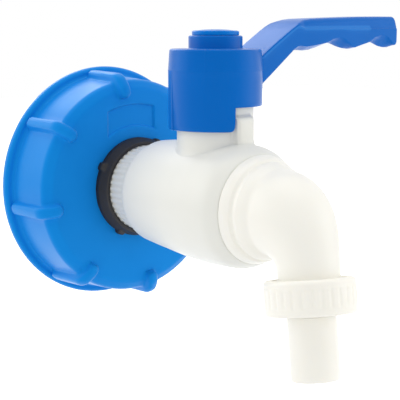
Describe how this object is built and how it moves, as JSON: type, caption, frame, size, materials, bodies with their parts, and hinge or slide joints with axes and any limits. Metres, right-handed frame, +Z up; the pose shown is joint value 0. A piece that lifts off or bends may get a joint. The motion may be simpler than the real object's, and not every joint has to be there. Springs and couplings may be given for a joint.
{
  "type": "ibc tank valve",
  "caption": "Plastic ball tap for a bulk liquid tank: ribbed screw cap with coarse thread, fluted collar, lever with finger grip, elbow spout, hose nut and hose tail.",
  "frame": {"origin": "centre of the screw cap's mouth, where the tank's neck enters", "axes": "+X along the flow from the tank to the spout, +Z up along the stem, +Y towards the lever's tip with the tap shut"},
  "size_m": [0.1219, 0.114, 0.1037],
  "materials": {
    "cap_blue": "moulded blue polypropylene, satin",
    "handle_blue": "moulded blue polypropylene, satin",
    "body_white": "moulded white polypropylene, satin",
    "elbow_white": "moulded white polypropylene, satin",
    "nut_white": "moulded warm white polypropylene, satin",
    "ball_white": "polished white acetal",
    "seat_white": "white fluoropolymer, smooth",
    "black_rubber": "black nitrile rubber, matt",
    "steel": "zinc-plated steel"
  },
  "bodies": {
    "valve": {"screw_cap": "cap_blue", "cap_gasket": "black_rubber", "neck_gasket": "black_rubber", "valve_body": "body_white", "inlet_seat": "seat_white", "outlet_seat": "seat_white", "outlet_elbow": "elbow_white", "elbow_o_ring": "black_rubber"},
    "lever": {"handle": "handle_blue", "screw_washer": "steel", "handle_screw": "steel", "handle_plug": "handle_blue", "stem": "body_white", "stem_washer": "seat_white", "stem_o_ring_lower": "black_rubber", "stem_o_ring_upper": "black_rubber", "ball": "ball_white"},
    "tail": {"hose_tail": "nut_white", "hose_tail_gasket": "black_rubber"},
    "nut": {"hose_nut": "nut_white"}
  },
  "joints": [
    {"name": "handle_turn", "type": "hinge", "parent": "valve", "child": "lever", "pos_m": [0.0638, 0, 0], "axis": [0, 0, 1], "range_deg": [-90, 0]},
    {"name": "tail_slide", "type": "slide", "parent": "valve", "child": "tail", "axis": [0.1805, -0.06, -0.9817], "range_m": [0, 0.00545]},
    {"name": "nut_turn", "type": "hinge", "parent": "tail", "child": "nut", "pos_m": [0.1042, 0, 0], "axis": [0.1805, -0.06, -0.9817], "range_deg": [0, 1080]}
  ],
  "couplings": [
    {"joint": "tail_slide", "follows": "nut_turn", "m_per_rad": 0.00028871}
  ]
}
